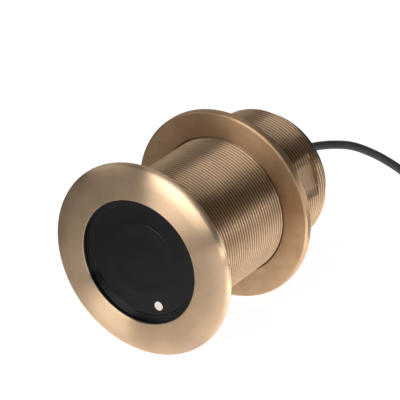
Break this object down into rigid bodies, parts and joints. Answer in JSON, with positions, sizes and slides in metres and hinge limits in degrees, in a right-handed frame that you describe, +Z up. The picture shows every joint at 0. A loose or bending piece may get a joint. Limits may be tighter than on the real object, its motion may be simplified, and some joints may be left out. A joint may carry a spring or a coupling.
{
  "type": "sonar transducer",
  "caption": "Bronze through-hull sonar transducer lying on its side: flanged threaded stem, black sounding face, hull nut and black cable.",
  "frame": {"origin": "on the stem's axis, in the plane of the flange's back face, which seats on the outside of the hull", "axes": "+Y along the stem from the flange towards the cable, the sounding face looks along -Y, +Z up with the part lying on its two rims"},
  "size_m": [0.248, 0.2105, 0.106],
  "materials": {
    "bronze": "satin turned bronze",
    "face_moulding": "satin black moulding",
    "button": "polished copper alloy",
    "ceramic": "silvered ceramic, with the density of cast iron",
    "matching": "filled epoxy",
    "cork": "cork",
    "foam": "rigid foam",
    "cup": "moulded plastic",
    "board": "circuit board",
    "ferrite": "ferrite",
    "copper": "enamelled copper",
    "chip": "moulded package",
    "potting": "cast resin",
    "wire": "insulated wire",
    "rear_moulding": "moulded black plastic",
    "cable_jacket": "satin black jacket",
    "tie": "woven tape",
    "contact": "plated contact",
    "insert": "moulded plastic"
  },
  "bodies": {
    "root": {"bronze_housing": "bronze", "acoustic_window": "face_moulding", "temperature_button": "button", "thermistor": "chip", "thermistor_leads": "wire", "matching_layer": "matching", "ceramic_element": "ceramic", "isolation_ring": "cork", "backing_block": "foam", "element_cup": "cup", "element_leads": "wire", "circuit_board": "board", "transformer_core": "ferrite", "transformer_winding": "copper", "identity_chip": "chip", "potting_compound": "potting", "cable_cores": "wire", "rear_cap": "rear_moulding", "cable_boot": "cable_jacket", "cable": "cable_jacket", "cable_coil": "cable_jacket", "coil_ties": "tie", "cable_tail": "cable_jacket", "plug_body": "rear_moulding", "plug_insert": "insert", "plug_contacts": "contact"},
    "nut": {"hull_nut": "bronze"}
  },
  "joints": [
    {"name": "hull_nut_travel", "type": "slide", "parent": "root", "child": "nut", "axis": [0, 1, 0], "range_m": [-0.0652, 0.0298]}
  ]
}
